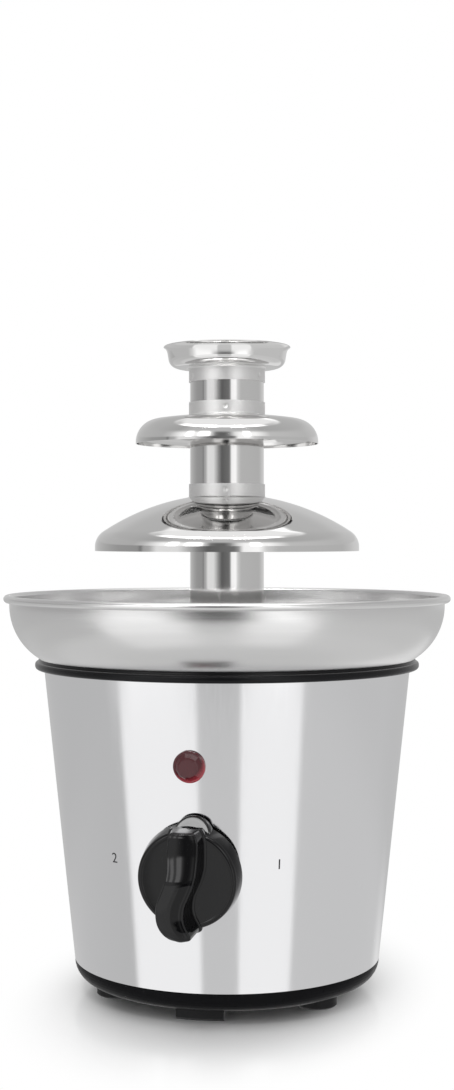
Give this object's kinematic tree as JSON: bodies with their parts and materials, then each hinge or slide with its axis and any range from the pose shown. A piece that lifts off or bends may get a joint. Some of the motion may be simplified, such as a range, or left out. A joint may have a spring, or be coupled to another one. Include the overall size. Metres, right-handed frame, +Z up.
{
  "type": "chocolate fountain",
  "caption": "Table-top chocolate fountain: lift-off tiered steel tower around an auger, heated bowl on a tapered steel housing with a selector knob and a pilot lamp.",
  "frame": {"origin": "on the table at the centre of the housing", "axes": "+Z up along the tower and the auger, -Y to the front with the knob, +X to the right seen from the front"},
  "size_m": [0.2, 0.2, 0.287],
  "materials": {
    "polished_steel": "polished",
    "tower_steel": "mirror polished",
    "satin_steel": "satin",
    "pin_steel": "satin",
    "zinc_steel": "zinc plated",
    "shaft_steel": "ground",
    "heater_steel": "heat tinted",
    "cast_aluminium": "as cast",
    "brass": "turned",
    "black_plastic": "satin",
    "collar_plastic": "semi-gloss",
    "bracket_plastic": "satin",
    "auger_plastic": "satin",
    "dark_plastic": "matte",
    "gloss_black": "gloss",
    "white_plastic": "matte",
    "red_lens": "clear gloss",
    "foot_rubber": "matte",
    "seal_rubber": "matte",
    "gland_rubber": "matte"
  },
  "bodies": {
    "base": {"bottom_pan": "black_plastic", "arc_feet": "foot_rubber", "round_feet": "foot_rubber", "tie_rod_nuts": "zinc_steel", "housing_shell": "polished_steel", "collar_ring": "collar_plastic", "bowl": "satin_steel", "locating_pins": "pin_steel", "tie_rods": "zinc_steel", "shaft_bush": "brass", "shaft_seal": "seal_rubber", "bush_nut": "zinc_steel", "heater_plate": "cast_aluminium", "heater_tube": "heater_steel", "heater_clamp": "zinc_steel", "clamp_nuts": "zinc_steel", "thermostat": "zinc_steel", "thermal_fuse": "white_plastic", "motor_plate": "zinc_steel", "plate_nuts": "zinc_steel", "motor_can": "zinc_steel", "gearbox_case": "dark_plastic", "motor_screws": "zinc_steel", "terminal_block": "white_plastic", "block_screws": "zinc_steel", "cord_gland": "gland_rubber", "rotary_switch": "dark_plastic", "switch_nut": "zinc_steel", "lamp_lens": "red_lens", "lamp_holder": "white_plastic", "lamp_clip": "zinc_steel"},
    "knob": {"control_knob": "gloss_black", "switch_spindle": "zinc_steel"},
    "drive": {"drive_shaft": "shaft_steel"},
    "auger": {"auger": "auger_plastic"},
    "tower": {"tower_bracket": "bracket_plastic", "tower_tube": "tower_steel", "lower_tier": "tower_steel", "middle_tier": "tower_steel", "top_cup": "tower_steel"}
  },
  "joints": [
    {"name": "drive_spin", "type": "hinge", "parent": "base", "child": "drive", "pos_m": [0, 0, 0.1], "axis": [0, 0, 1], "continuous": true},
    {"name": "auger_lift", "type": "slide", "parent": "drive", "child": "auger", "axis": [0, 0, 1], "range_m": [0, 0.145]},
    {"name": "tower_lift", "type": "slide", "parent": "base", "child": "tower", "axis": [0, 0, 1], "range_m": [0, 0.15]},
    {"name": "knob_turn", "type": "hinge", "parent": "base", "child": "knob", "pos_m": [0, -0.07362, 0.0645], "axis": [0, -0.9944, -0.1058], "range_deg": [-90, 90]}
  ]
}
